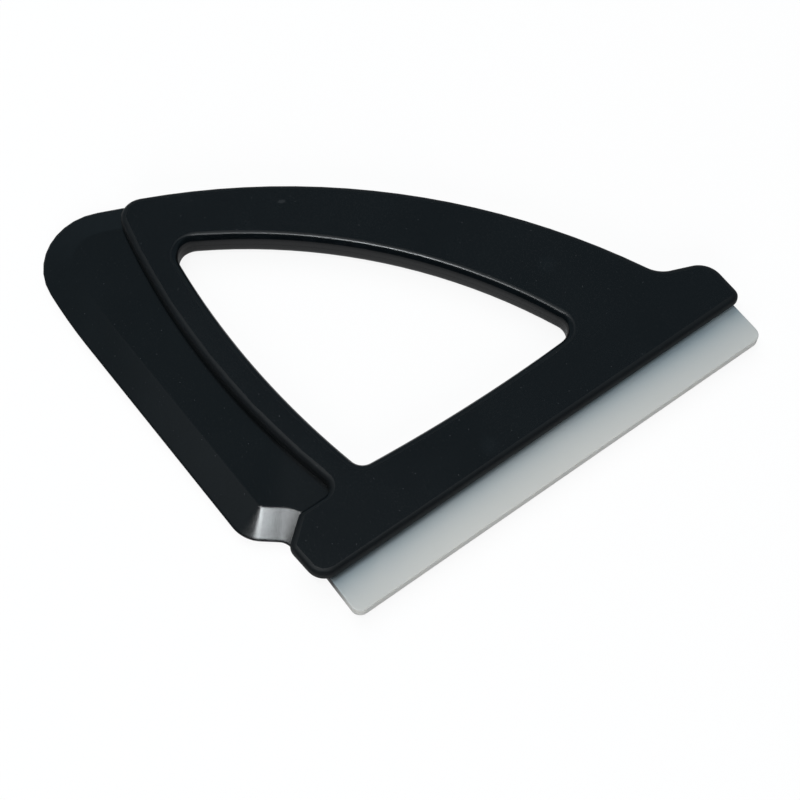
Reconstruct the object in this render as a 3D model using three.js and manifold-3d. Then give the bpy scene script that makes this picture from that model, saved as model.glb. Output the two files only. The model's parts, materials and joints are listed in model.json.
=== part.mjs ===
import * as THREE from 'three';
import { mergeVertices } from 'three/addons/utils/BufferGeometryUtils.js';
import Module from 'manifold-3d';

const wasm = await Module();
wasm.setup();

// Hand ice scraper, lying on its flat underside. Millimetres, +Z up.
// Plan: X runs along the pale blade from its left end, Y runs back from the blade's scraping edge.

// Pale blade
const blade_length = 115;
const blade_thickness = 2.7;
const blade_reach = 9.7;
const blade_tongue = 8.2;
const blade_corner_radius = 2.3;
const blade_edge_round = 0.25;

// Heights of the two shells
const floor_thickness = 1.7;
const cover_thickness = 3.2;

// Frame, upper outline
const frame_depth = 107.1;
const tab_left = 2.7;
const tab_right = 1.75;
const tab_depth = 10.7;
const tab_flare = 0.8;
const tab_slope = 0.404;
const tab_left_round = 4.7;
const tab_right_round = 2.4;
const tab_crest_round = 6.3;
const tab_back_round = 2.7;
const handle_radius = 168.2;
const handle_root_inset = 9.77;
const handle_root_depth = 16.5;
const handle_root_round = 6.9;
const tip_offset = 13.4;
const tip_round = 5.7;
const arm_radius = 190;
const arm_foot_offset = 12.9;
const arm_foot_depth = 16.1;
const arm_foot_round = 2.6;
const shoulder_offset = 3;
const shoulder_round = 3;
const rim_radius = 1.5;
const overhang_rim_radius = 1.2;

// Hand opening
const bar_depth_left = 17.1;
const bar_depth_right = 16.0;
const arm_width_low = 7.3;
const arm_width_high = 4.5;
const opening_right_inset = 34;
const tip_bar = 16.9;
const opening_front_radius = 408;
const opening_handle_radius = 134.6;
const opening_arm_radius = 200;
const opening_left_round = 3.5;
const opening_right_round = 4;
const opening_top_round = 4.5;
const opening_rim_radius = 2;
const opening_lower_rim_radius = 3;

// Black bevelled blade
const bevel_width = 7.1;
const bevel_land = 0.4;
const black_reach = 6.8;
const black_taper = 0.0259;
const black_end_depth = 19.9;
const black_end_slope = 0.805;
const black_end_round = 8.5;
const black_flare_offset = -0.3;
const black_flare_lean = 0.25;
const black_flare_round = 3.8;
const black_shoulder_drop = 19.1;
const black_shoulder_lean = 0.068;
const black_shoulder_round = 160;
const black_crown_round = 14.8;
const black_crown_slope = 0.437;
const black_crown_lead = 1.5;
const black_neck_offset = 3;
const black_tongue = 3.9;
const black_tongue_setback = 7;
const tongue_spacing = 2.8;
const hidden_round = 1.5;

// Hollow handle, ribs, bosses and screws
const wall = 2.4;
const skin = 1.8;
const rib_thickness = 1.2;
const hollow_places = [0.07, 0.95];
const rib_places = [0.26, 0.4, 0.53, 0.66, 0.79];
const boss_radius = 2.6;
const pin_radius = 1.1;
const pin_places = [0.16, 0.88];
const bar_screw_places = [0.07, 0.4, 0.88];
const bar_screw_depth = 4.2;
const handle_screw_places = [0.16, 0.87];
const screw_radius = 1.25;
const screw_length = 6.2;
const screw_head_radius = 2.4;
const screw_head_height = 1.2;
const screw_point_length = 1.4;
const screw_point_radius = 0.3;
const recess_span = 3;
const recess_width = 0.6;
const recess_depth = 0.6;

// Clearances
const fit_gap = 0.1;
const seam_gap = 0.05;
const side_gap = 0.3;
const end_setback = 0.3;
const floor_rim_radius = 1;
const floor_corner_round = 2;

const seam = floor_thickness + blade_thickness + fit_gap;
const top = seam + cover_thickness;
const lip = blade_reach;
const beyond = 2 * (blade_length + frame_depth);

const rim_steps = 5;
const curve_steps = 10;
const turn_steps = 32;
const edge_steps = 2;
const weld_distance = 1e-4;

// One side of an outline: straight, or an arc that bulges outwards when its radius is positive.
function side(from, to, radius) {
  const start = new THREE.Vector2(from.x, from.y);
  const end = new THREE.Vector2(to.x, to.y);
  const run = end.clone().sub(start);
  const chord = run.length();
  run.divideScalar(chord);
  const outward = new THREE.Vector2(run.y, -run.x);
  if (!radius) {
    const point = (d) => start.clone().addScaledVector(run, d);
    const draw = (shape, d0, d1) => {
      const stop = point(d1);
      shape.lineTo(stop.x, stop.y);
    };
    return { length: chord, point, heading: () => run.clone(), outward: () => outward.clone(), draw };
  }
  const size = Math.abs(radius);
  const turn = Math.sign(radius);
  const middle = start.clone().add(end).multiplyScalar(0.5);
  const drop = Math.sqrt(size * size - chord * chord / 4);
  const centre = middle.addScaledVector(outward, -turn * drop);
  const first = Math.atan2(start.y - centre.y, start.x - centre.x);
  const length = 2 * size * Math.asin(chord / 2 / size);
  const angle = (d) => first + turn * d / size;
  const spoke = (d) => new THREE.Vector2(Math.cos(angle(d)), Math.sin(angle(d)));
  return {
    length,
    point: (d) => centre.clone().addScaledVector(spoke(d), size),
    heading: (d) => new THREE.Vector2(-spoke(d).y, spoke(d).x).multiplyScalar(turn),
    outward: (d) => spoke(d).multiplyScalar(turn),
    draw: (shape, d0, d1) => shape.absarc(centre.x, centre.y, size, angle(d0), angle(d1), turn < 0),
  };
}

// Corners in counter-clockwise order; `bow` is the radius of the side that leaves the corner.
function sidesOf(corners) {
  return corners.map((corner, i) => side(corner, corners[(i + 1) % corners.length], corner.bow));
}

function outline(corners, shape = new THREE.Shape()) {
  const sides = sidesOf(corners);
  const count = corners.length;
  const trims = corners.map((corner, i) => {
    const before = sides[(i + count - 1) % count];
    const arriving = before.heading(before.length);
    const leaving = sides[i].heading(0);
    const turn = Math.acos(THREE.MathUtils.clamp(arriving.dot(leaving), -1, 1));
    return (corner.round ?? 0) * Math.tan(turn / 2);
  });
  const begin = sides[0].point(trims[0]);
  shape.moveTo(begin.x, begin.y);
  sides.forEach((now, i) => {
    const next = (i + 1) % count;
    const last = now.length - trims[next];
    now.draw(shape, trims[i], last);
    if (trims[next] > 0) {
      const a = now.point(last);
      const b = sides[next].point(trims[next]);
      const leave = now.heading(last);
      const arrive = sides[next].heading(trims[next]);
      const turn = Math.acos(THREE.MathUtils.clamp(leave.dot(arrive), -1, 1));
      const reach = 4 / 3 * Math.tan(turn / 4) * corners[next].round;
      a.addScaledVector(leave, reach);
      const c = b.clone().addScaledVector(arrive, -reach);
      shape.bezierCurveTo(a.x, a.y, c.x, c.y, b.x, b.y);
    }
  });
  return shape;
}

function solid(geometry) {
  const bare = geometry.clone();
  bare.deleteAttribute('normal');
  bare.deleteAttribute('uv');
  const merged = mergeVertices(bare, weld_distance);
  const index = merged.index.array;
  const faces = [];
  for (let i = 0; i < index.length; i += 3) {
    const [a, b, c] = [index[i], index[i + 1], index[i + 2]];
    if (a !== b && b !== c && c !== a) faces.push(a, b, c);
  }
  return new wasm.Manifold(new wasm.Mesh({
    numProp: 3,
    vertProperties: Float32Array.from(merged.attributes.position.array),
    triVerts: Uint32Array.from(faces),
  }));
}

// A plate between two heights, moved in from its outline by `inset`, with both rims rounded.
function plate(shape, low, high, { inset = 0, rim = 0, steps = rim_steps } = {}) {
  const geometry = new THREE.ExtrudeGeometry(shape, {
    depth: high - low - 2 * rim,
    bevelEnabled: true,
    bevelSegments: rim > 0 ? steps : 0,
    bevelThickness: rim,
    bevelSize: rim,
    bevelOffset: -inset - rim,
    curveSegments: curve_steps,
  });
  geometry.translate(0, 0, low + rim);
  return solid(geometry);
}

function rod(radius, low, high, spot) {
  const geometry = new THREE.CylinderGeometry(radius, radius, high - low, turn_steps);
  geometry.rotateX(Math.PI / 2);
  geometry.translate(spot.x, spot.y, (low + high) / 2);
  return solid(geometry);
}

function turned(profile, spot) {
  const geometry = new THREE.LatheGeometry(profile.map(([r, z]) => new THREE.Vector2(r, z)), turn_steps);
  geometry.rotateX(Math.PI / 2);
  geometry.translate(spot.x, spot.y, 0);
  return solid(geometry);
}

function block(low, high) {
  const geometry = new THREE.BoxGeometry(high.x - low.x, high.y - low.y, high.z - low.z);
  geometry.translate((low.x + high.x) / 2, (low.y + high.y) / 2, (low.z + high.z) / 2);
  return solid(geometry);
}

const all = (pieces) => pieces.reduce((sum, piece) => sum.add(piece));
const below = (z) => block({ x: -beyond, y: -beyond, z: -beyond }, { x: beyond, y: beyond, z });

// Frame outline
const tab_right_end = blade_length + tab_right;
const handle_root = { x: blade_length - handle_root_inset, y: lip + handle_root_depth };
const tab_crest = handle_root.y - tab_slope * (tab_right_end - handle_root.x);
const tip = { x: tip_offset, y: lip + frame_depth };
const arm_foot = { x: arm_foot_offset, y: lip + arm_foot_depth };
const frame_corners = [
  { x: -tab_left, y: lip, round: tab_left_round },
  { x: tab_right_end, y: lip, round: tab_right_round },
  { x: tab_right_end, y: tab_crest, round: tab_crest_round },
  { ...handle_root, round: handle_root_round, bow: handle_radius },
  { ...tip, round: tip_round, bow: arm_radius },
  { ...arm_foot, round: arm_foot_round },
  { x: shoulder_offset, y: arm_foot.y, round: shoulder_round },
  { x: -tab_left - tab_flare, y: lip + tab_depth, round: tab_back_round },
];
const frame_shape = outline(frame_corners);
const [, , , handle_side, arm_side] = sidesOf(frame_corners);

// Hand opening
const opening_left = { x: arm_foot.x + arm_width_low, y: lip + bar_depth_left };
const opening_right = { x: blade_length - opening_right_inset, y: lip + bar_depth_right };
const opening_top = { x: tip.x + arm_width_high, y: tip.y - tip_bar };
const opening_corners = [
  { ...opening_left, round: opening_left_round, bow: opening_front_radius },
  { ...opening_right, round: opening_right_round, bow: opening_handle_radius },
  { ...opening_top, round: opening_top_round, bow: opening_arm_radius },
];
const opening_shape = outline(opening_corners);
const [, grip_side] = sidesOf(opening_corners);

function around(hole) {
  const sheet = new THREE.Shape();
  sheet.moveTo(-beyond, -beyond);
  sheet.lineTo(beyond, -beyond);
  sheet.lineTo(beyond, beyond);
  sheet.lineTo(-beyond, beyond);
  sheet.closePath();
  sheet.holes.push(hole);
  return sheet;
}

// Crescent hollow inside the handle, set in from both arcs by the wall thickness
function alongHandle(place) {
  const outer_distance = place * handle_side.length;
  const inner_distance = place * grip_side.length;
  return {
    outer: handle_side.point(outer_distance).addScaledVector(handle_side.outward(outer_distance), -wall),
    inner: grip_side.point(inner_distance).addScaledVector(grip_side.outward(inner_distance), wall),
  };
}
const [low_end, high_end] = hollow_places.map(alongHandle);
const hollow_shape = outline([
  { ...low_end.inner, round: hidden_round },
  { ...low_end.outer, round: hidden_round, bow: handle_radius - wall },
  { ...high_end.outer, round: hidden_round },
  { ...high_end.inner, round: hidden_round, bow: -opening_handle_radius - wall },
]);

function rib(place) {
  const { outer, inner } = alongHandle(place);
  const run = outer.clone().sub(inner);
  const geometry = new THREE.BoxGeometry(run.length() + wall, rib_thickness, 2 * top);
  geometry.rotateZ(Math.atan2(run.y, run.x));
  geometry.translate((outer.x + inner.x) / 2, (outer.y + inner.y) / 2, 0);
  return solid(geometry);
}
const ribs = all(rib_places.map(rib));

// Screw places: three along the bar, through the blade's tongue, and two in the handle
const bar_screws = bar_screw_places.map((place) => (
  new THREE.Vector2(place * blade_length, lip + bar_screw_depth)
));
const handle_screws = handle_screw_places.map((place) => {
  const { outer, inner } = alongHandle(place);
  return outer.lerp(inner, 0.5);
});
const screw_spots = [...bar_screws, ...handle_screws];

// Black blade: a plate with one wide bevel round its free edge and a tongue under the arm.
// The free edge runs from the neck over the crown and shoulder to the foot, and flares out at the tab.
const black_low = floor_thickness;
const black_high = floor_thickness + blade_thickness;
const black_back = lip + blade_tongue + tongue_spacing;
const black_foot = { x: -tab_left - black_reach, y: lip + black_end_depth };
const shoulder_y = tip.y - black_shoulder_drop;
const black_shoulder = { x: black_foot.x - black_taper * (shoulder_y - black_foot.y), y: shoulder_y };
const crownLine = (x) => tip.y + black_crown_lead + black_crown_slope * (tip.x - x);
const crown_rise = (crownLine(black_shoulder.x) - black_shoulder.y)
  / (1 + black_crown_slope * black_shoulder_lean);
const black_crown = {
  x: black_shoulder.x + black_shoulder_lean * crown_rise,
  y: black_shoulder.y + crown_rise,
};
const neckAt = (x) => ({ x, y: crownLine(x) });
const flare_x = -tab_left - black_flare_offset;
const black_flare = { x: flare_x, y: black_foot.y - black_end_slope * (flare_x - black_foot.x) };
const heelAt = (y) => ({ x: black_flare.x + black_flare_lean * (black_flare.y - y), y });
const free_edge = [
  { ...black_crown, round: black_crown_round },
  { ...black_shoulder, round: black_shoulder_round },
  { ...black_foot, round: Math.max(black_end_round, bevel_width + bevel_land) },
  { ...black_flare, round: black_flare_round },
];
const black_shape = outline([
  ...free_edge,
  { ...heelAt(black_back), round: hidden_round },
  { x: arm_foot.x + black_tongue, y: black_back, round: hidden_round, bow: -arm_radius },
  { x: tip.x + black_tongue, y: tip.y - black_tongue_setback, round: hidden_round },
  { ...neckAt(tip.x + black_neck_offset), round: hidden_round },
]);

// The bevel's outline runs on past the tongue, so that only the free edge is bevelled.
const run_on = 2 * (arm_foot.x - black_foot.x);
const bevel_shape = outline([
  ...free_edge,
  heelAt(black_back - run_on),
  { x: arm_foot.x + run_on, y: black_back - run_on },
  neckAt(arm_foot.x + run_on),
]);
const bevel_geometry = new THREE.ExtrudeGeometry(bevel_shape, {
  depth: bevel_land,
  bevelSegments: 1,
  bevelThickness: blade_thickness - bevel_land,
  bevelSize: bevel_width,
  bevelOffset: -bevel_width,
  curveSegments: curve_steps,
});
bevel_geometry.translate(0, 0, black_low);
const bevelled = solid(bevel_geometry);

// Two moulded pins hold the black blade's tongue
const arm_pins = pin_places.map((place) => {
  const d = place * arm_side.length;
  return arm_side.point(d).addScaledVector(arm_side.outward(d), -black_tongue / 2);
});

const black_blade = bevelled
  .intersect(plate(black_shape, black_low, black_high))
  .subtract(all(arm_pins.map((spot) => rod(pin_radius + side_gap, 0, top, spot))));

// Pale blade: a flat plate with two rounded free corners and a hole for each bar boss
const pale_shape = outline([
  { x: 0, y: 0, round: blade_corner_radius },
  { x: blade_length, y: 0, round: blade_corner_radius },
  { x: blade_length, y: lip + blade_tongue, round: hidden_round },
  { x: 0, y: lip + blade_tongue, round: hidden_round },
]);
const pale_blade = plate(pale_shape, floor_thickness, floor_thickness + blade_thickness, {
  rim: blade_edge_round,
  steps: edge_steps,
}).subtract(all(bar_screws.map((spot) => rod(boss_radius + side_gap, 0, top, spot))));

// Footprint of the lower shell, held back from the blade's ends
const clip_shape = outline([
  { x: end_setback, y: lip, round: floor_corner_round },
  { x: blade_length - end_setback, y: lip, round: floor_corner_round },
  { x: blade_length - end_setback, y: beyond },
  { x: end_setback, y: beyond },
]);

// Upper shell: the flat cover with its lip over both blades, hollow handle and screw bosses
const bosses = all(screw_spots.map((spot) => (
  rod(boss_radius, floor_thickness + fit_gap, top - rim_radius, spot)
)));
const pilots = all(screw_spots.map((spot) => (
  rod(screw_radius + fit_gap, 0, screw_length + side_gap, spot)
)));
const upper_hollow = plate(hollow_shape, floor_thickness, top - skin).subtract(ribs);
const overhang = plate(frame_shape, seam, 2 * top, { rim: overhang_rim_radius })
  .add(plate(clip_shape, seam, 2 * top, { inset: overhang_rim_radius }));
const upper_shell = plate(frame_shape, seam - 2 * rim_radius, top, { rim: rim_radius })
  .intersect(plate(around(opening_shape), -top, top, { rim: opening_rim_radius }))
  .intersect(overhang)
  .subtract(upper_hollow)
  .add(bosses)
  .subtract(pilots);

// Lower shell: floor, recess for each blade, hollow handle and countersunk screw holes
const pale_recess = block(
  { x: -beyond, y: -beyond, z: floor_thickness },
  { x: beyond, y: lip + blade_tongue + side_gap, z: 2 * top },
);
const black_recess = plate(black_shape, floor_thickness, 2 * top, { inset: -side_gap })
  .subtract(all(arm_pins.map((spot) => rod(pin_radius, 0, 3 * top, spot))));
const boss_room = all(screw_spots.map((spot) => (
  rod(boss_radius + side_gap, floor_thickness, 2 * top, spot)
)));
const lower_hollow = plate(hollow_shape, floor_thickness, 2 * top).subtract(ribs).add(boss_room);
const sink = (spot) => turned([
  [0, -top],
  [screw_head_radius + fit_gap, -top],
  [screw_head_radius + fit_gap, 0],
  [screw_radius + side_gap, screw_head_height],
  [screw_radius + side_gap, floor_thickness + top],
  [0, floor_thickness + top],
], spot);
const lower_shell = plate(frame_shape, 0, top, { rim: rim_radius })
  .intersect(plate(around(opening_shape), 0, 2 * top, { rim: opening_lower_rim_radius }))
  .intersect(plate(clip_shape, 0, 2 * top, { rim: floor_rim_radius }))
  .intersect(below(seam - seam_gap))
  .subtract(pale_recess)
  .subtract(black_recess)
  .subtract(lower_hollow)
  .subtract(all(screw_spots.map(sink)));

// Countersunk screw with a cross recess, driven up from the underside
function screw(spot) {
  const body = turned([
    [0, 0],
    [screw_head_radius, 0],
    [screw_radius, screw_head_height - fit_gap],
    [screw_radius, screw_length - screw_point_length],
    [screw_point_radius, screw_length],
    [0, screw_length],
  ], spot);
  const arm = recess_span / 2;
  const half = recess_width / 2;
  const slot = (x, y) => block(
    { x: spot.x - x, y: spot.y - y, z: -top },
    { x: spot.x + x, y: spot.y + y, z: recess_depth },
  );
  return body.subtract(slot(arm, half).add(slot(half, arm)));
}

const black_plastic = { color: 0x15181b, roughness: 0.42, metalness: 0 };
const pale_plastic = { color: 0xc9cdcb, roughness: 0.4, metalness: 0 };
const zinc_steel = { color: 0xb9bcc0, roughness: 0.35, metalness: 1 };
const pieces = [
  ['upper_shell', upper_shell, black_plastic],
  ['lower_shell', lower_shell, black_plastic],
  ['pale_scraper_blade', pale_blade, pale_plastic],
  ['black_bevelled_blade', black_blade, black_plastic],
  ['screw_bar_left', screw(bar_screws[0]), zinc_steel],
  ['screw_bar_middle', screw(bar_screws[1]), zinc_steel],
  ['screw_bar_right', screw(bar_screws[2]), zinc_steel],
  ['screw_handle_low', screw(handle_screws[0]), zinc_steel],
  ['screw_handle_high', screw(handle_screws[1]), zinc_steel],
];

function mesh(name, body, finish) {
  const data = body.getMesh();
  const geometry = new THREE.BufferGeometry();
  geometry.setAttribute('position', new THREE.BufferAttribute(Float32Array.from(data.vertProperties), 3));
  geometry.setIndex(new THREE.BufferAttribute(Uint32Array.from(data.triVerts), 1));
  geometry.computeVertexNormals();
  const piece = new THREE.Mesh(geometry, new THREE.MeshStandardMaterial(finish));
  piece.name = name;
  return piece;
}

const scraper = new THREE.Group();
scraper.name = 'ice_scraper';
pieces.forEach(([name, body, finish]) => scraper.add(mesh(name, body, finish)));

// The origin goes to the middle of the underside of the whole object.
const bounds = new THREE.Box3().setFromObject(scraper);
const middle = bounds.getCenter(new THREE.Vector3());
scraper.children.forEach((piece) => piece.geometry.translate(-middle.x, -middle.y, -bounds.min.z));

export default scraper;
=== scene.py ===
"""Looks and studio for the palm-sized ice scraper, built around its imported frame."""
import json
import math

import bpy
from bpy.props import FloatProperty, FloatVectorProperty, PointerProperty
from mathutils import Matrix, Vector

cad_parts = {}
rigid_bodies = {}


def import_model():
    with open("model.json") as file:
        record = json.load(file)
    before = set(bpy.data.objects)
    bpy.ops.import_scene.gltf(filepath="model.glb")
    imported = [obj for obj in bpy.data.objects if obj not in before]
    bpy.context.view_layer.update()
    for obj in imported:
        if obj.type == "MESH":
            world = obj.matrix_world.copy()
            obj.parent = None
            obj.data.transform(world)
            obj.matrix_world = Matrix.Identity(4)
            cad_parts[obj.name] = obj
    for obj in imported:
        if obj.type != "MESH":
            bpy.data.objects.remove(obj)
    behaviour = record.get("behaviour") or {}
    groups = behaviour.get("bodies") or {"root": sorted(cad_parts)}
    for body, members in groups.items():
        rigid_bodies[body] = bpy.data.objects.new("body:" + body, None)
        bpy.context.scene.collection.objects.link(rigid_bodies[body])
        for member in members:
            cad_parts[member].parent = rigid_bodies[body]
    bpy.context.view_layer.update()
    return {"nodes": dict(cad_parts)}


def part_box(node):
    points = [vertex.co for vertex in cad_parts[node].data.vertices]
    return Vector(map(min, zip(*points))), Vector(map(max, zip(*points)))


bl_info = {
    "name": "Ice Scraper Looks",
    "version": (1, 0, 0),
    "blender": (4, 5, 0),
    "location": "View3D > Sidebar > Scraper",
    "description": "Finishes for a palm-sized ice scraper and the studio it is shown in",
    "category": "Object",
}

for leftover in list(bpy.data.objects):
    bpy.data.objects.remove(leftover, do_unlink=True)
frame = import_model()

MM = 0.001
UPPER_SHELL = "upper_shell"
SHELLS = (UPPER_SHELL, "lower_shell")
PALE_BLADE = "pale_scraper_blade"
BLACK_BLADE = "black_bevelled_blade"
SUNK_BOSSES = ("screw_bar_middle", "screw_handle_low")
SCREWS = tuple(sorted(name for name in frame["nodes"] if name.startswith("screw_")))

# Shading: edges sharper than a solid's crease angle stay sharp
SHELL_CREASE = math.radians(32.0)
BLACK_BLADE_CREASE = math.radians(11.0)
PALE_BLADE_CREASE = math.radians(50.0)
SCREW_CREASE = math.radians(25.0)
WELD_DISTANCE = 0.002 * MM
LARGE_FACE_WEIGHT = 100
CREASE_SAMPLES = 6

# Noise patterns: waves per millimetre, detail and, where there is any, distortion
BLACK_CLOUDS = (0.045, 3.0, 0.6)
BLACK_GRAIN = (2.6, 3.0)
BLACK_FINE_GRAIN = (9.0, 2.0)
RUBBED_PATCHES = (0.35, 4.0)
PALE_CLOUDS = (0.06, 3.0, 0.5)
PALE_FINE_GRAIN = (5.0, 2.0)
SCRAPED_STROKES = (1.0, 3.0)
ZINC_CLOUDS = (0.8, 4.0, 1.0)
TURNING_MARKS = (1.5, 2.0)
NOISE_MEAN = 0.5

# Stretch of the patterns that run one way, along X, Y and Z
STROKE_STRETCH = (0.25, 4.0, 1.0)
TURNING_STRETCH = (1.0, 1.0, 14.0)

# Where each noise starts to show and where it shows in full
BLACK_CLOUD_RANGE = (0.3, 0.75)
RUBBED_RANGE = (0.42, 0.7)
PALE_CLOUD_RANGE = (0.45, 0.8)
STROKE_RANGE = (0.62, 0.74)
ZINC_CLOUD_RANGE = (0.35, 0.7)

# How far up a face looks, from where a mark starts to where it is whole
FLAT_TOP = (0.985, 0.9998)
LEVEL_ENOUGH_FOR_DUST = (0.8, 0.98)
ROUNDED_FROM_WALL = (0.1, 0.5)
ROUNDED_TO_TOP = (0.9, 0.995)
WALL_TO_TOP = (0.2, 0.7)

# How far a face looks at the hand opening's middle, or to the left
LOOKS_AT_GRIP = (0.05, 0.3)
LOOKS_LEFT = (0.4, 0.8)

# Specks: cells per millimetre, radius in cells, share of the cells that hold one
DUST = (0.25, 0.03, 0.2)
POWDER = (0.7, 0.08, 0.16)
POWDER_STRENGTH = 0.3
SPECK_STRENGTH = 0.6
SPECK_CORE = 0.4
SPECK_PICK_WIDTH = 0.02

# The one light fleck: length and width in millimetres, and its full part as a share of its half width
FLECK_SIZE = (2.5, 1.2)
FLECK_STRENGTH = 0.26
FLECK_CORE = 0.4

# Black mouldings: colour shares, strengths of the marks, and what each adds to roughness and height
RUBBED_LIGHTENING = 2.0
CLOUD_DARKENING = 0.8
RUBBED_STRENGTH = 0.4
SINK_STRENGTH = 0.5
SINK_CORE = 0.15
BLACK_CLOUD_ROUGHNESS = 0.1
BLACK_FINE_ROUGHNESS = 0.08
RUBBED_SMOOTHNESS = 0.05
BLACK_GRAIN_HEIGHT = 0.6
BLACK_FINE_HEIGHT = 0.4
SINK_HEIGHT = 1.5

# Millimetres past the flare's place, from where the dulling starts to where it is whole
FLARE_RUN = (-4.5, 1.6)

# Pale blade: places along it from its left end, and across it from its edge to the lip, as shares
RIGHT_END = (0.5, 1.0)
LEFT_END = (0.0, 0.25)
STROKED_EDGE = (0.3, 1.0)
SHADED_LEFT_END = (0.25, 1.0)

# Pale blade: strengths of its painted shade by the lip, at its ends and on its left end face, and of its
# real marks, its relief in millimetres, and how it scatters light inside
RIGHT_END_SHADE = 1.5
EVEN_LIP_SHADE = 0.28
END_SHADE = 0.1
PALE_DULLING = 0.9
PALE_CLOUD_STRENGTH = 0.2
STROKE_STRENGTH = 0.2
LIP_SHADOW_STRENGTH = 0.55
LIP_SHADOW_FALL = 0.62
LEFT_END_SHADE = 0.9
PALE_CLOUD_ROUGHNESS = 0.12
STROKE_ROUGHNESS = 0.1
PALE_FINE_HEIGHT = 0.5
STROKE_HEIGHT = 0.5
PALE_RELIEF = 0.004
PALE_IOR = 1.49
SCATTER_SHARES = (1.0, 0.95, 0.85)
SCATTER_DEPTH = 1.2 * MM

# Screw steel: colour share, roughness, and relief in millimetres
ZINC_DULLING = 0.7
ZINC_ROUGHNESS = 0.32
ZINC_CLOUD_ROUGHNESS = 0.2
TURNING_ROUGHNESS = 0.1
TURNING_RELIEF = 0.01

# Studio: lengths in metres, and the camera's sensor in millimetres
FLOOR_GAP = 0.05 * MM
FLOOR_CORNERS = 96
ROOM_RISE = (0.0, 0.4)
WHITE = (1.0, 1.0, 1.0, 1.0)
SENSOR_WIDTH = 36.0
NEAREST_SEEN = 0.01
FARTHEST_SEEN = 100.0


class Wire:
    """A node's output socket that takes part in Python expressions."""

    def __init__(self, finish, socket):
        self.finish = finish
        self.socket = socket

    def maths(self, operation, first, second):
        """One Math node on two values."""
        return self.finish.node("ShaderNodeMath", {"operation": operation}, {0: first, 1: second})[0]

    def __add__(self, other):
        return self.maths("ADD", self, other)

    def __radd__(self, other):
        return self.maths("ADD", other, self)

    def __sub__(self, other):
        return self.maths("SUBTRACT", self, other)

    def __rsub__(self, other):
        return self.maths("SUBTRACT", other, self)

    def __mul__(self, other):
        return self.maths("MULTIPLY", self, other)

    def __rmul__(self, other):
        return self.maths("MULTIPLY", other, self)


class Outputs:
    """A node's outputs as wires."""

    def __init__(self, finish, made):
        self.finish = finish
        self.made = made

    def __getitem__(self, key):
        return Wire(self.finish, self.made.outputs[key])


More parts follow.
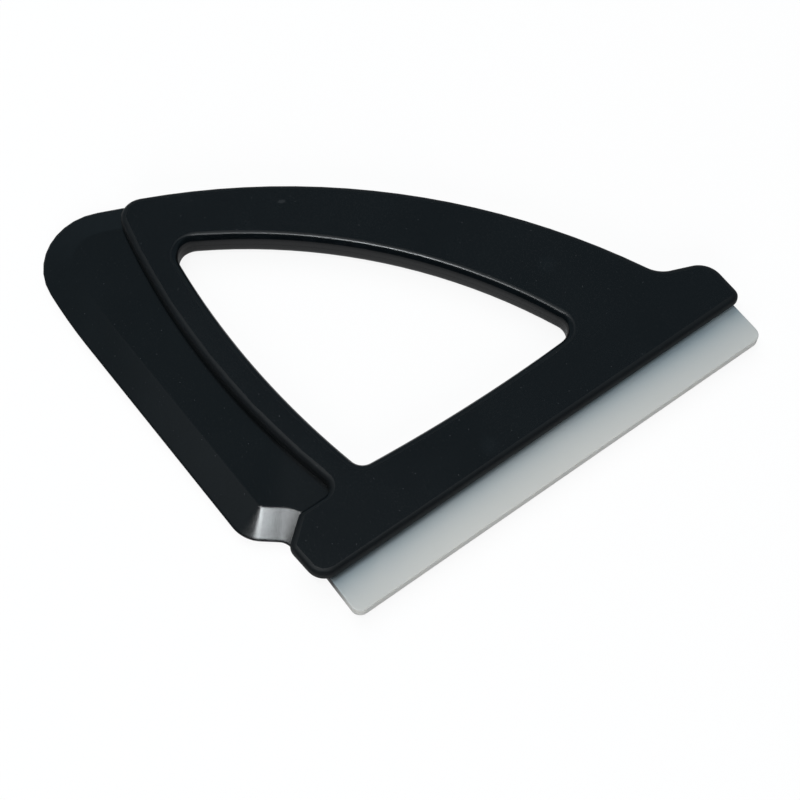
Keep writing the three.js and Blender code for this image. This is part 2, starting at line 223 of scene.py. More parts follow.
class Finish:
    """A node tree under construction, with the few moves that the finishes share."""

    def __init__(self, tree):
        self.tree = tree
        self.tree.nodes.clear()

    def node(self, kind, settings=None, inputs=None):
        """Adds a node, applies its settings, then feeds its sockets; gives its outputs by name or place."""
        made = self.tree.nodes.new(kind)
        for key, value in (settings or {}).items():
            setattr(made, key, value)
        for key, value in (inputs or {}).items():
            if isinstance(value, Wire):
                self.tree.links.new(value.socket, made.inputs[key])
            else:
                made.inputs[key].default_value = value
        return Outputs(self, made)

    def vector(self, operation, inputs):
        """One Vector Math node."""
        return self.node("ShaderNodeVectorMath", {"operation": operation}, inputs)

    def ramp(self, value, low, high, rise="LINEAR"):
        """Rises from 0 to 1 as the value goes from low to high."""
        inputs = {"Value": value, "From Min": low, "From Max": high}
        return self.node("ShaderNodeMapRange", {"interpolation_type": rise}, inputs)["Result"]

    def step(self, value, low, high):
        """Rises from 0 to 1 with soft ends."""
        return self.ramp(value, low, high, "SMOOTHSTEP")

    def noise(self, place, scale, detail, distortion=0.0):
        """Soft noise around its mean; the scale is in waves per millimetre."""
        inputs = {"Vector": place, "Scale": scale, "Detail": detail, "Distortion": distortion}
        return self.node("ShaderNodeTexNoise", None, inputs)["Fac"]

    def tint(self, amount, first, second):
        """Mixes two colours."""
        return self.node("ShaderNodeMix", {"data_type": "RGBA"}, {0: amount, 6: first, 7: second})[2]

    def blend(self, amount, first, second):
        """Mixes two shaders."""
        return self.node("ShaderNodeMixShader", None, {0: amount, 1: first, 2: second})["Shader"]

    def millimetres(self):
        """The point on the piece, in millimetres of the part's own frame."""
        place = self.node("ShaderNodeTexCoord")["Object"]
        return self.vector("SCALE", {0: place, "Scale": 1 / MM})["Vector"]

    def stretched(self, place, factors):
        """The same point with its axes scaled, for marks that run one way."""
        return self.vector("MULTIPLY", {0: place, 1: factors})["Vector"]

    def axes(self, vector):
        """The three parts of a vector."""
        return self.node("ShaderNodeSeparateXYZ", None, {0: vector})

    def normal(self):
        """The surface's own direction in the part's frame."""
        return self.node("ShaderNodeTexCoord")["Normal"]

    def facing(self):
        """How far the surface looks up: 1 on a top face, 0 on an upright wall."""
        return self.axes(self.normal())["Z"]

    def towards(self, place, centre):
        """How far the surface looks at a point: 1 straight at it, -1 away from it."""
        away = self.vector("SUBTRACT", {0: centre, 1: place})["Vector"]
        line = self.vector("NORMALIZE", {0: away})["Vector"]
        return self.vector("DOT_PRODUCT", {0: self.normal(), 1: line})["Value"]

    def fleck(self, place, centre, turn, length, width):
        """1 in one long speck that lies turned in the plan, falling to 0 at its rim."""
        away = self.vector("SUBTRACT", {0: place, 1: centre})["Vector"]
        turned = self.node(
            "ShaderNodeVectorRotate", {"rotation_type": "Z_AXIS"}, {"Vector": away, "Angle": -turn}
        )
        even = self.stretched(turned["Vector"], (2 / length, 2 / width, 0.0))
        return 1 - self.step(self.vector("LENGTH", {0: even})["Value"], FLECK_CORE, 1.0)

    def spots(self, place, scale, radius, share):
        """Scattered specks seen from above, in a share of the cells of a pattern."""
        cells = self.node(
            "ShaderNodeTexVoronoi", {"voronoi_dimensions": "2D"}, {"Vector": place, "Scale": scale}
        )
        near = 1 - self.step(cells["Distance"], SPECK_CORE * radius, radius)
        draw = self.axes(cells["Color"])["X"]
        return near * self.step(draw, 1 - share, 1 - share + SPECK_PICK_WIDTH)

    def dimples(self, place, centres, radius):
        """1 in the middle of each shallow sink mark, falling to 0 at its rim."""
        total = 0.0
        for centre in centres:
            away = self.vector("DISTANCE", {0: place, 1: centre})["Value"]
            total = (1 - self.step(away, SINK_CORE * radius, radius)) + total
        return total

    def bump(self, height, distance, crease=0.0):
        """A Bump node's normal, over softened creases if they have a radius; lengths are in millimetres."""
        inputs = {"Height": height, "Distance": distance * MM}
        if crease > 0:
            softened = self.node("ShaderNodeBevel", {"samples": CREASE_SAMPLES}, {"Radius": crease * MM})
            inputs["Normal"] = softened["Normal"]
        return self.node("ShaderNodeBump", None, inputs)["Normal"]

    def close(self, constants, links):
        """Ends the tree in one Principled shader."""
        shader = self.node("ShaderNodeBsdfPrincipled", None, {**constants, **links})
        self.node("ShaderNodeOutputMaterial", None, {"Surface": shader["BSDF"]})


def opaque(colour, share=1.0):
    """A colour as the nodes take it, made darker or lighter by a share."""
    return [share * part for part in colour[:3]] + [1.0]


def new_finish(name):
    """A fresh material and its tree."""
    material = bpy.data.materials.new(name)
    material.use_nodes = True
    return material, Finish(material.node_tree)


def rounded_shading(crease):
    """Geometry nodes that join a solid's facets and keep only edges sharper than the crease."""
    group = bpy.data.node_groups.new("rounded_shading", "GeometryNodeTree")
    group.interface.new_socket("Geometry", in_out="INPUT", socket_type="NodeSocketGeometry")
    group.interface.new_socket("Geometry", in_out="OUTPUT", socket_type="NodeSocketGeometry")
    tree = Finish(group)
    solid = tree.node("NodeGroupInput")["Geometry"]
    joined = tree.node("GeometryNodeMergeByDistance", None, {"Geometry": solid, "Distance": WELD_DISTANCE})
    plain = tree.node(
        "GeometryNodeRemoveAttribute", None, {"Geometry": joined["Geometry"], "Name": "custom_normal"}
    )
    soft = tree.node(
        "GeometryNodeSetShadeSmooth",
        {"domain": "FACE"},
        {"Geometry": plain["Geometry"], "Shade Smooth": True},
    )
    angle = tree.node("GeometryNodeInputMeshEdgeAngle")["Unsigned Angle"]
    sharp = tree.node(
        "FunctionNodeCompare", {"data_type": "FLOAT", "operation": "GREATER_THAN"}, {0: angle, 1: crease}
    )
    kept = tree.node(
        "GeometryNodeSetShadeSmooth",
        {"domain": "EDGE"},
        {"Geometry": soft["Geometry"], "Selection": sharp["Result"], "Shade Smooth": False},
    )
    tree.node("NodeGroupOutput", None, {"Geometry": kept["Geometry"]})
    return group


def dress(name, material, crease):
    """Gives a solid its finish and smooth shading between its real edges."""
    solid = frame["nodes"][name]
    solid.data.materials.clear()
    solid.data.materials.append(material)
    shading = solid.modifiers.new("rounded_shading", "NODES")
    shading.node_group = rounded_shading(crease)
    weighted = solid.modifiers.new("flat_faces_stay_flat", "WEIGHTED_NORMAL")
    weighted.keep_sharp = True
    weighted.weight = LARGE_FACE_WEIGHT


def boss_centres():
    """Where screw bosses show faintly through the top face, in millimetres."""
    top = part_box(UPPER_SHELL)[1].z / MM
    centres = []
    for name in SUNK_BOSSES:
        low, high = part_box(name)
        middle = (low + high) / 2 / MM
        centres.append((middle.x, middle.y, top))
    return centres


def worn_rims(finish, place, look):
    """Added roughness of the shells: matt outer rims, and a hand opening polished by fingers."""
    rim = 1 - finish.step(finish.facing(), *FLAT_TOP)
    grip = finish.step(finish.towards(place, Vector(look.grip_centre) / MM), *LOOKS_AT_GRIP)
    return rim * (look.rim_dulling - grip * (look.rim_dulling + look.grip_polish))


def worn_flare(finish, place, look):
    """Added roughness of the black blade: duller towards the tab, where it scrapes nothing."""
    past = finish.vector("SUBTRACT", {0: place, 1: Vector(look.flare_place) / MM})["Vector"]
    run = finish.vector("DOT_PRODUCT", {0: past, 1: Vector(look.flare_direction)})["Value"]
    return finish.step(run, *FLARE_RUN) * look.flare_dulling


def black_moulding(name, look, colour, roughness, ior, wear, crease=0.0):
    """Satin black moulded plastic: soft mottling, fine grain, dust, rubbed edges and its own wear."""
    material, finish = new_finish(name)
    place = finish.millimetres()
    clouds = finish.noise(place, *BLACK_CLOUDS)
    grain = finish.noise(place, *BLACK_GRAIN)
    fine = finish.noise(place, *BLACK_FINE_GRAIN)
    up = finish.facing()
    rounded = finish.step(up, *ROUNDED_FROM_WALL) * (1 - finish.step(up, *ROUNDED_TO_TOP))
    rubbed = rounded * finish.step(finish.noise(place, *RUBBED_PATCHES), *RUBBED_RANGE)
    level = finish.step(up, *LEVEL_ENOUGH_FOR_DUST)
    dust = finish.spots(place, *DUST)
    powder = finish.spots(place, *POWDER) * POWDER_STRENGTH
    chip = finish.fleck(place, Vector(look.fleck_place) / MM, look.fleck_turn, *FLECK_SIZE)
    specks = (dust + powder + chip * FLECK_STRENGTH) * level
    sinks = finish.dimples(place, boss_centres(), look.sink_radius / MM)
    mottled = finish.step(clouds, *BLACK_CLOUD_RANGE)
    base = finish.tint(mottled, opaque(colour, CLOUD_DARKENING), opaque(colour))
    lifted = rubbed * RUBBED_STRENGTH + sinks * SINK_STRENGTH
    base = finish.tint(lifted, base, opaque(colour, RUBBED_LIGHTENING))
    base = finish.tint(specks * SPECK_STRENGTH, base, opaque(look.dust_colour))
    rough = roughness + BLACK_CLOUD_ROUGHNESS * (clouds - NOISE_MEAN)
    rough = rough + BLACK_FINE_ROUGHNESS * (fine - NOISE_MEAN) - RUBBED_SMOOTHNESS * rubbed
    height = grain * BLACK_GRAIN_HEIGHT + fine * BLACK_FINE_HEIGHT - sinks * SINK_HEIGHT
    links = {
        "Base Color": base,
        "Roughness": rough + wear(finish, place, look),
        "Normal": finish.bump(height, look.grain_depth / MM, crease),
    }
    finish.close({"IOR": ior, "Metallic": 0.0}, links)
    return material


def milky_plastic(look):
    """Pale blade: slightly cloudy plastic worn by scraping at its free edge, with painted shade darker and
    cooler towards the lip and at its ends, a painted shadow by the lip and on the left end face, and
    slightly lighter narrow faces as painted light.
    """
    material, finish = new_finish("milky_blade_plastic")
    place = finish.millimetres()
    low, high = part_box(PALE_BLADE)
    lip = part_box(UPPER_SHELL)[0].y
    spot = finish.axes(place)
    inwards = finish.ramp(spot["Y"], low.y / MM, lip / MM)
    outwards = 1 - inwards
    along = finish.ramp(spot["X"], low.x / MM, high.x / MM)
    # Painted shade at both ends of the blade, strongest at the right end
    shaded_ends = finish.step(along, *RIGHT_END) * RIGHT_END_SHADE + 1 - finish.step(along, *LEFT_END)
    upright = 1 - finish.step(finish.facing(), *WALL_TO_TOP)
    clouds = finish.noise(place, *PALE_CLOUDS)
    fine = finish.noise(place, *PALE_FINE_GRAIN)
    strokes = finish.noise(finish.stretched(place, STROKE_STRETCH), *SCRAPED_STROKES)
    marks = finish.step(strokes, *STROKE_RANGE) * finish.step(outwards, *STROKED_EDGE)
    # Painted shade: darker and cooler towards the lip, where the lip's shadow and reflection fall, and
    # darker at both ends
    shade_by_lip_and_ends = inwards * (EVEN_LIP_SHADE + (1 - EVEN_LIP_SHADE) * inwards)
    shade_by_lip_and_ends = shade_by_lip_and_ends * (1 - END_SHADE + END_SHADE * shaded_ends) + END_SHADE * shaded_ends
    base = finish.tint(shade_by_lip_and_ends, opaque(look.pale_colour_outer), opaque(look.pale_colour_in_shade))
    dulled = finish.step(clouds, *PALE_CLOUD_RANGE) * PALE_CLOUD_STRENGTH + marks * STROKE_STRENGTH
    base = finish.tint(dulled, base, opaque(look.pale_colour_outer, PALE_DULLING))
    # Painted light: the narrow faces take a slightly lighter colour, standing in for light that leaves the
    # plastic there
    base = finish.tint(upright, base, opaque(look.pale_colour_lit_face))
    # Painted shadow: a dark band just outside the lip that fades towards the right end, and dark shade on
    # the left end face near the lip
    painted_lip_shadow = finish.step(spot["Y"], (lip - look.painted_shadow_width) / MM, lip / MM)
    left_face = finish.step(finish.axes(finish.normal())["X"] * -1, *LOOKS_LEFT)
    left_shade = left_face * finish.step(inwards, *SHADED_LEFT_END) * LEFT_END_SHADE
    shade = painted_lip_shadow * (LIP_SHADOW_STRENGTH - LIP_SHADOW_FALL * along) + left_shade
    base = finish.tint(shade, base, opaque(look.pale_colour_painted_shade))
    rough = look.pale_roughness + PALE_CLOUD_ROUGHNESS * (clouds - NOISE_MEAN) + STROKE_ROUGHNESS * marks
    links = {
        "Base Color": base,
        "Roughness": rough,
        "Normal": finish.bump(fine * PALE_FINE_HEIGHT + strokes * STROKE_HEIGHT, PALE_RELIEF),
    }
    constants = {
        "IOR": PALE_IOR,
        "Subsurface Weight": look.pale_milkiness,
        "Subsurface Radius": SCATTER_SHARES,
        "Subsurface Scale": SCATTER_DEPTH,
    }
    finish.close(constants, links)
    return material


def zinc_steel(look):
    """Plated screw steel with cloudy zinc and fine turning marks."""
    material, finish = new_finish("zinc_screw_steel")
    place = finish.millimetres()
    clouds = finish.noise(place, *ZINC_CLOUDS)
    turned = finish.noise(finish.stretched(place, TURNING_STRETCH), *TURNING_MARKS)
    bright = finish.step(clouds, *ZINC_CLOUD_RANGE)
    dull = opaque(look.steel_colour, ZINC_DULLING)
    rough = ZINC_ROUGHNESS + ZINC_CLOUD_ROUGHNESS * (clouds - NOISE_MEAN)
    links = {
        "Base Color": finish.tint(bright, dull, opaque(look.steel_colour)),
        "Roughness": rough + TURNING_ROUGHNESS * (turned - NOISE_MEAN),
        "Normal": finish.bump(turned, TURNING_RELIEF),
    }
    finish.close({"Metallic": 1.0}, links)
    return material


class ScraperLooks(bpy.types.PropertyGroup):
    """Colours and surfaces of the scraper."""

    frame_colour: FloatVectorProperty(
        name="Frame colour",
        description="Black of both shells",
        subtype="COLOR",
        default=(0.0021, 0.0031, 0.0038),
        min=0.0,
        max=1.0,
    )
    frame_roughness: FloatProperty(
        name="Frame roughness",
        description="Satin of both shells",
        default=0.26,
        min=0.0,
        max=1.0,
    )
    frame_ior: FloatProperty(
        name="Frame gloss",
        description="Index of refraction of both shells",
        default=1.46,
        min=1.0,
        max=2.0,
    )
    black_blade_colour: FloatVectorProperty(
        name="Black blade colour",
        description="Black of the bevelled blade",
        subtype="COLOR",
        default=(0.0021, 0.0029, 0.0033),
        min=0.0,
        max=1.0,
    )
    black_blade_roughness: FloatProperty(
        name="Black blade roughness",
        description="Satin of the bevelled blade",
        default=0.15,
        min=0.0,
        max=1.0,
    )
    black_blade_ior: FloatProperty(
        name="Black blade gloss",
        description="Index of refraction of the bevelled blade",
        default=1.5,
        min=1.0,
        max=2.0,
    )
    rim_dulling: FloatProperty(
        name="Rim dulling",
        description="How much rougher the outer rims are than the flat faces",
        default=0.32,
        min=0.0,
        max=1.0,
    )
    grip_polish: FloatProperty(
        name="Grip polish",
        description="How much smoother the rim of the hand opening is than the flat faces",
        default=0.07,
        min=0.0,
        max=1.0,
    )
    grip_centre: FloatVectorProperty(
        name="Grip centre",
        description="Middle of the hand opening",
        subtype="XYZ",
        unit="LENGTH",
        default=(-12 * MM, -10 * MM, 4 * MM),
    )
    flare_dulling: FloatProperty(
        name="Flare dulling",
        description="How much rougher the black blade is next to the tab",
        default=0.11,
        min=0.0,
        max=1.0,
    )
    flare_place: FloatVectorProperty(
        name="Flare",
        description="Where the black blade's end facet turns into the flare",
        subtype="XYZ",
        unit="LENGTH",
        default=(-52.8 * MM, -31.9 * MM, 3.8 * MM),
    )
    flare_direction: FloatVectorProperty(
        name="Flare direction",
        description="From the end facet across the flare to the tab",
        subtype="DIRECTION",
        default=(0.779, -0.627, 0.0),
    )
    fleck_place: FloatVectorProperty(
        name="Fleck",
        description="Where the one light fleck sits on the handle",
        subtype="XYZ",
        unit="LENGTH",
        default=(-7.27 * MM, 32.85 * MM, 7.7 * MM),
    )
    fleck_turn: FloatProperty(
        name="Fleck turn",
        description="Which way the fleck lies",
        subtype="ANGLE",
        unit="ROTATION",
        default=math.radians(-25.0),
    )
    crease_radius: FloatProperty(
        name="Crease radius",
        description="Softness of the bevelled blade's creases",
        subtype="DISTANCE",
        unit="LENGTH",
        default=0.7 * MM,
    )
    grain_depth: FloatProperty(
        name="Grain depth",
        description="Depth of the moulded grain",
        subtype="DISTANCE",
        unit="LENGTH",
        default=0.006 * MM,
    )
    sink_radius: FloatProperty(
        name="Sink mark radius",
        description="Radius of the faint marks over screw bosses",
        subtype="DISTANCE",
        unit="LENGTH",
        default=3.2 * MM,
    )
    dust_colour: FloatVectorProperty(
        name="Dust colour",
        description="Colour of dust specks and of the fleck on the black plastic",
        subtype="COLOR",
        default=(0.08, 0.085, 0.09),
        min=0.0,
        max=1.0,
    )
    # Painted shade: the colour the pale plastic takes by the lip and at its ends, where shade and the lip's
    # reflection fall
    pale_colour_in_shade: FloatVectorProperty(
        name="Pale blade by the frame",
        description="Pale plastic next to the lip",
        subtype="COLOR",
        default=(0.25, 0.304, 0.331),
        min=0.0,
        max=1.0,
    )
    pale_colour_outer: FloatVectorProperty(
        name="Pale blade at its edge",
        description="Pale plastic along the scraping edge",
        subtype="COLOR",
        default=(0.548, 0.545, 0.519),
        min=0.0,
        max=1.0,
    )
    # Painted light: the narrow faces are set slightly lighter, as light leaving the plastic
    pale_colour_lit_face: FloatVectorProperty(
        name="Pale blade's front face",
        description="Pale plastic on the narrow face of the scraping edge, where light leaves it",
        subtype="COLOR",
        default=(0.6, 0.6, 0.573),
        min=0.0,
        max=1.0,
    )
    # Painted shadow: the dark colour painted just outside the lip and on the left end face near the lip
    pale_colour_painted_shade: FloatVectorProperty(
        name="Pale blade under the lip",
        description="Shadow where the pale plastic goes into the frame",
        subtype="COLOR",
        default=(0.03, 0.03, 0.03),
        min=0.0,
        max=1.0,
    )
    # Width of the painted shadow band outside the lip
    painted_shadow_width: FloatProperty(
        name="Shadow width",
        description="How far the shadow reaches out from the lip",
        subtype="DISTANCE",
        unit="LENGTH",
        default=1.0 * MM,
    )
    pale_roughness: FloatProperty(
        name="Pale blade roughness",
        description="Roughness of the pale plastic",
        default=0.38,
        min=0.0,
        max=1.0,
    )
    pale_milkiness: FloatProperty(
        name="Pale blade milkiness",
        description="Light scattered inside the plastic",
        default=0.25,
        min=0.0,
        max=1.0,
    )
    steel_colour: FloatVectorProperty(
        name="Screw colour",
        description="Zinc plated steel",
        subtype="COLOR",
        default=(0.55, 0.56, 0.57),
        min=0.0,
        max=1.0,
    )


class ScraperStudio(bpy.types.PropertyGroup):
    """Camera, floor and light."""

    camera_azimuth: FloatProperty(
        name="Camera azimuth",
        description="Turn of the view round the upright axis",
        subtype="ANGLE",
        unit="ROTATION",
        default=math.radians(-37.9),
    )
    camera_elevation: FloatProperty(
        name="Camera elevation",
        description="Height of the view above the horizon",
        subtype="ANGLE",
        unit="ROTATION",
        default=math.radians(63.0),
    )
    camera_roll: FloatProperty(
        name="Camera roll",
        description="Tilt of the picture",
        subtype="ANGLE",
        unit="ROTATION",
        default=math.radians(1.5),
    )
    camera_distance: FloatProperty(
        name="Camera distance",
        description="From the point that is looked at to the lens",
        subtype="DISTANCE",
        unit="LENGTH",
        default=0.41701,
    )
    camera_aim: FloatVectorProperty(
        name="Camera aim",
        description="From the pale blade's low corner to the point at the middle of the picture",
        subtype="XYZ",
        unit="LENGTH",
        default=(0.037948, 0.036121, 0.0023),
    )
    camera_lens: FloatProperty(
        name="Lens",
        description="Focal length in millimetres on a 36 mm sensor",
        default=83.25,
        min=1.0,
    )
    floor_radius: FloatProperty(
        name="Floor radius",
        description="Half the width of the round floor",
        subtype="DISTANCE",
        unit="LENGTH",
        default=12.0,
    )
    floor_colour: FloatVectorProperty(
        name="Floor colour",
        description="Pale floor",
        subtype="COLOR",
        default=(0.95, 0.95, 0.95),
        min=0.0,
        max=1.0,
    )
    floor_bounce: FloatVectorProperty(
        name="Floor bounce",
        description="Colour that the floor throws back on the scraper",
        subtype="COLOR",
        default=(0.34, 0.33, 0.33),
        min=0.0,
        max=1.0,
    )
    floor_glow: FloatProperty(
        name="Floor glow",
        description="Share of the floor that shows as plain white",
        default=0.9,
        min=0.0,
        max=1.0,
    )
    floor_mirror: FloatProperty(
        name="Floor mirrored",
        description="Share of that white in mirrored views",
        default=0.12,
        min=0.0,
        max=1.0,
    )
    lamp_distance: FloatProperty(
        name="Light distance",
        description="From the scraper to each soft light",
        subtype="DISTANCE",
        unit="LENGTH",
        default=1.2,
    )
    main_direction: FloatVectorProperty(
        name="Main light",
        description="Where the main light stands",
        subtype="DIRECTION",
        default=(-0.246, -0.072, 0.967),
    )
    main_width: FloatProperty(
        name="Main light width",
        description="Diameter of the main light",
        subtype="DISTANCE",
        unit="LENGTH",
        default=0.18,
    )
    main_colour: FloatVectorProperty(
        name="Main light colour",
        description="Slightly cool daylight of the main light",
        subtype="COLOR",
        default=(0.92, 0.975, 1.0),
        min=0.0,
        max=1.0,
    )
    main_power: FloatProperty(
        name="Main light power",
        description="Power of the main light",
        subtype="POWER",
        unit="POWER",
        default=2.4,
    )
    fill_direction: FloatVectorProperty(
        name="Fill light",
        description="Where the wide light stands",
        subtype="DIRECTION",
        default=(0.15, 0.55, 0.82),
    )
    fill_width: FloatProperty(
        name="Fill light width",
        description="Diameter of the wide light",
        subtype="DISTANCE",
        unit="LENGTH",
        default=1.1,
    )
    fill_power: FloatProperty(
        name="Fill light power",
        description="Power of the wide light",
        subtype="POWER",
        unit="POWER",
        default=8.0,
    )
    front_direction: FloatVectorProperty(
        name="Front light",
        description="Where the low light stands",
        subtype="DIRECTION",
        default=(-0.57, -0.74, 0.36),
    )
    front_width: FloatProperty(
        name="Front light width",
        description="Diameter of the low light",
        subtype="DISTANCE",
        unit="LENGTH",
        default=0.9,
    )
    front_power: FloatProperty(
        name="Front light power",
        description="Power of the low light",
        subtype="POWER",
        unit="POWER",
        default=9.5,
    )
    glint_direction: FloatVectorProperty(
        name="Glint light",
        description="Where the small light stands",
        subtype="DIRECTION",
        default=(-0.25, 0.08, 0.965),
    )
    glint_width: FloatProperty(
        name="Glint light width",
        description="Diameter of the small light",
        subtype="DISTANCE",
        unit="LENGTH",
        default=0.19,
    )
    glint_power: FloatProperty(
        name="Glint light power",
        description="Power of the small light",
        subtype="POWER",
        unit="POWER",
        default=2.1,
    )
    left_direction: FloatVectorProperty(
        name="Left light",
        description="Where the weak light stands",
        subtype="DIRECTION",
        default=(-0.3, 0.33, 0.895),
    )
    left_width: FloatProperty(
        name="Left light width",
        description="Diameter of the weak light",
        subtype="DISTANCE",
        unit="LENGTH",
        default=0.44,
    )
    left_power: FloatProperty(
        name="Left light power",
        description="Power of the weak light",
        subtype="POWER",
        unit="POWER",
        default=0.071,
    )
    room_direction: FloatVectorProperty(
        name="Room light",
        description="Where the dim light is strongest",
        subtype="DIRECTION",
        default=(0.55, 0.70, 0.45),
    )
    room_colour: FloatVectorProperty(
        name="Room colour",
        description="Dim light from overhead and behind",
        subtype="COLOR",
        default=(0.145, 0.195, 0.23),
        min=0.0,
        max=1.0,
    )
    wall_colour: FloatVectorProperty(
        name="Wall colour",
        description="Dimmer light from the front",
        subtype="COLOR",
        default=(0.02, 0.03, 0.04),
        min=0.0,
        max=1.0,
    )


class SCRAPER_OT_shells(bpy.types.Operator):
    """Finish both shells of the frame"""

    bl_idname = "scraper.shells"
    bl_label = "Frame shells"

    def execute(self, context):
        look = context.scene.scraper_looks
        material = black_moulding(
            "black_frame_plastic",
            look,
            look.frame_colour,
            look.frame_roughness,
            look.frame_ior,
            worn_rims,
        )
        for name in SHELLS:
            dress(name, material, SHELL_CREASE)
        return {"FINISHED"}


class SCRAPER_OT_black_blade(bpy.types.Operator):
    """Finish the bevelled black blade"""

    bl_idname = "scraper.black_blade"
    bl_label = "Black blade"

    def execute(self, context):
        look = context.scene.scraper_looks
        material = black_moulding(
            "black_blade_plastic_finish",
            look,
            look.black_blade_colour,
            look.black_blade_roughness,
            look.black_blade_ior,
            worn_flare,
            look.crease_radius / MM,
        )
        dress(BLACK_BLADE, material, BLACK_BLADE_CREASE)
        return {"FINISHED"}


class SCRAPER_OT_pale_blade(bpy.types.Operator):
    """Finish the pale blade"""

    bl_idname = "scraper.pale_blade"
    bl_label = "Pale blade"

    def execute(self, context):
        dress(PALE_BLADE, milky_plastic(context.scene.scraper_looks), PALE_BLADE_CREASE)
        return {"FINISHED"}


class SCRAPER_OT_screws(bpy.types.Operator):
    """Finish the screws in the underside"""

    bl_idname = "scraper.screws"
    bl_label = "Screws"

    def execute(self, context):
        material = zinc_steel(context.scene.scraper_looks)
        for name in SCREWS:
            dress(name, material, SCREW_CREASE)
        return {"FINISHED"}


def round_floor(studio):
    """A wide round floor just under the scraper, shown white and throwing back less than it shows."""
    mesh = bpy.data.meshes.new("floor")
    rim = []
    for corner in range(FLOOR_CORNERS):
        turn = 2 * math.pi * corner / FLOOR_CORNERS
        rim.append((studio.floor_radius * math.cos(turn), studio.floor_radius * math.sin(turn), -FLOOR_GAP))
    mesh.from_pydata(rim, [], [tuple(range(FLOOR_CORNERS))])
    floor = bpy.data.objects.new("floor", mesh)
    bpy.context.scene.collection.objects.link(floor)
    material, finish = new_finish("pale_floor")
    path = finish.node("ShaderNodeLightPath")
    seen = path["Is Camera Ray"] + path["Is Transmission Ray"] + path["Is Glossy Ray"] * studio.floor_mirror
    bounce = finish.node("ShaderNodeBsdfDiffuse", None, {"Color": opaque(studio.floor_bounce)})
    pale = finish.node("ShaderNodeBsdfDiffuse", None, {"Color": opaque(studio.floor_colour)})
    matt = finish.blend(seen, bounce["BSDF"], pale["BSDF"])
    white = finish.node("ShaderNodeEmission", None, {"Color": WHITE, "Strength": 1.0})
    shown = finish.blend(seen * studio.floor_glow, matt, white["Emission"])
    finish.node("ShaderNodeOutputMaterial", None, {"Surface": shown})
    mesh.materials.append(material)


def soft_light(name, direction, distance, width, power, mirrored=True, colour=WHITE[:3]):
    """One round soft light that looks at the scraper; glossy faces mirror it unless told otherwise."""
    lamp = bpy.data.lights.new(name, "AREA")
    lamp.shape = "DISK"
    lamp.size = width
    lamp.energy = power
    lamp.color = colour
    holder = bpy.data.objects.new(name, lamp)
    holder.visible_glossy = mirrored
    away = Vector(direction).normalized()
    turn = away.to_track_quat("Z", "Y").to_matrix().to_4x4()
    holder.matrix_world = Matrix.Translation(distance * away) @ turn
    bpy.context.scene.collection.objects.link(holder)


def dim_room(studio):
    """Dim light from overhead and behind that falls away towards the front; the camera sees plain white."""
    world = bpy.data.worlds.new("dim_room")
    world.use_nodes = True
    finish = Finish(world.node_tree)
    outwards = finish.node("ShaderNodeTexCoord")["Generated"]
    brightest = Vector(studio.room_direction).normalized()
    rise = finish.vector("DOT_PRODUCT", {0: outwards, 1: brightest})["Value"]
    overhead = finish.node("ShaderNodeBackground", None, {"Color": opaque(studio.room_colour)})
    around = finish.node("ShaderNodeBackground", None, {"Color": opaque(studio.wall_colour)})
    room = finish.blend(finish.step(rise, *ROOM_RISE), around["Background"], overhead["Background"])
    path = finish.node("ShaderNodeLightPath")
    seen = path["Is Camera Ray"] + path["Is Transmission Ray"]
    white = finish.node("ShaderNodeBackground", None, {"Color": WHITE, "Strength": 1.0})
    shown = finish.blend(seen, room, white["Background"])
    finish.node("ShaderNodeOutputWorld", None, {"Surface": shown})
    bpy.context.scene.world = world


def picture_camera(studio):
    """The camera at the photograph's viewing angle."""
    data = bpy.data.cameras.new("camera")
    data.sensor_width = SENSOR_WIDTH
    data.lens = studio.camera_lens
    data.clip_start = NEAREST_SEEN
    data.clip_end = FARTHEST_SEEN
    camera = bpy.data.objects.new("camera", data)
    turn = Matrix.Rotation(studio.camera_azimuth, 4, "Z")
    pitch = Matrix.Rotation(math.pi / 2 - studio.camera_elevation, 4, "X")
    roll = Matrix.Rotation(studio.camera_roll, 4, "Z")
    back = turn @ pitch @ Vector((0.0, 0.0, studio.camera_distance))
    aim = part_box(PALE_BLADE)[0] + Vector(studio.camera_aim)
    camera.matrix_world = Matrix.Translation(aim + back) @ turn @ pitch @ roll
    bpy.context.scene.collection.objects.link(camera)
    bpy.context.scene.camera = camera


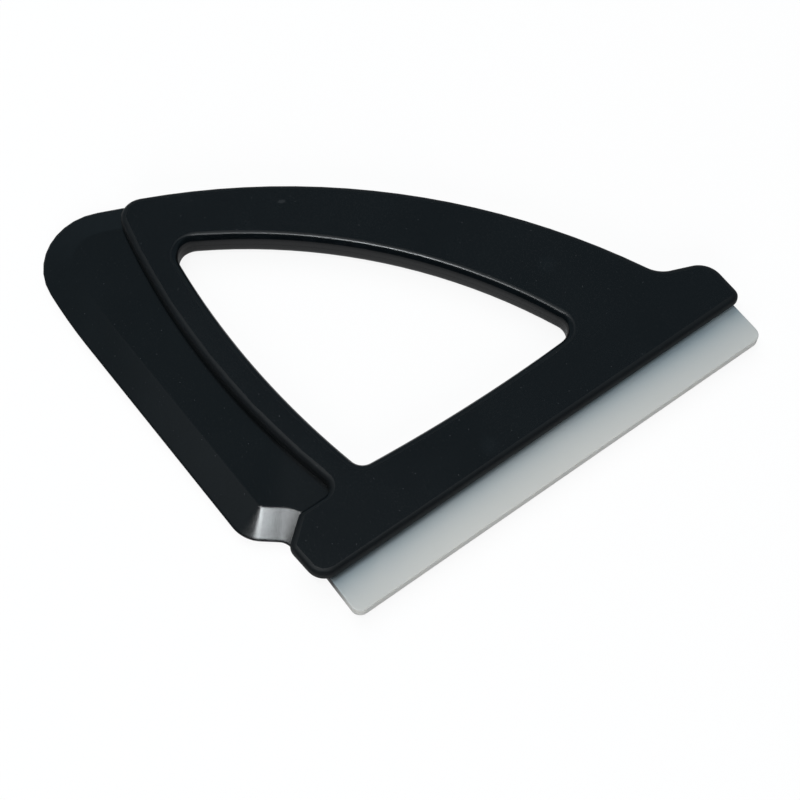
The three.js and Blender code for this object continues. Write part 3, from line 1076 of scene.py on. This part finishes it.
class SCRAPER_OT_studio(bpy.types.Operator):
    """Set up the floor, the light and the camera"""

    bl_idname = "scraper.studio"
    bl_label = "Studio"

    def execute(self, context):
        studio = context.scene.scraper_studio
        round_floor(studio)
        distance = studio.lamp_distance
        soft_light(
            "main_light",
            studio.main_direction,
            distance,
            studio.main_width,
            studio.main_power,
            colour=studio.main_colour,
        )
        soft_light(
            "fill_light",
            studio.fill_direction,
            distance,
            studio.fill_width,
            studio.fill_power,
            mirrored=False,
        )
        soft_light(
            "front_light",
            studio.front_direction,
            distance,
            studio.front_width,
            studio.front_power,
            mirrored=False,
        )
        soft_light("glint_light", studio.glint_direction, distance, studio.glint_width, studio.glint_power)
        soft_light("left_light", studio.left_direction, distance, studio.left_width, studio.left_power)
        dim_room(studio)
        picture_camera(studio)
        context.scene.view_settings.view_transform = "Standard"
        return {"FINISHED"}


OPERATORS = (
    SCRAPER_OT_shells,
    SCRAPER_OT_black_blade,
    SCRAPER_OT_pale_blade,
    SCRAPER_OT_screws,
    SCRAPER_OT_studio,
)


class SCRAPER_PT_panel(bpy.types.Panel):
    """Sidebar panel with the scraper's pieces and studio"""

    bl_idname = "SCRAPER_PT_panel"
    bl_label = "Ice scraper"
    bl_space_type = "VIEW_3D"
    bl_region_type = "UI"
    bl_category = "Scraper"

    def draw(self, context):
        layout = self.layout
        for operator in OPERATORS:
            layout.operator(operator.bl_idname, text=operator.bl_label)
        for group in (context.scene.scraper_looks, context.scene.scraper_studio):
            box = layout.box()
            for name in group.__annotations__:
                box.prop(group, name)


CLASSES = (ScraperLooks, ScraperStudio) + OPERATORS + (SCRAPER_PT_panel,)


def register():
    """Makes the property groups, operators and panel known."""
    for item in CLASSES:
        bpy.utils.register_class(item)
    bpy.types.Scene.scraper_looks = PointerProperty(type=ScraperLooks)
    bpy.types.Scene.scraper_studio = PointerProperty(type=ScraperStudio)


def unregister():
    """Takes them away again."""
    del bpy.types.Scene.scraper_studio
    del bpy.types.Scene.scraper_looks
    for item in reversed(CLASSES):
        bpy.utils.unregister_class(item)


def main():
    """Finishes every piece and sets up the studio."""
    register()
    bpy.ops.scraper.shells()
    bpy.ops.scraper.black_blade()
    bpy.ops.scraper.pale_blade()
    bpy.ops.scraper.screws()
    bpy.ops.scraper.studio()


if __name__ == "__main__":
    main()
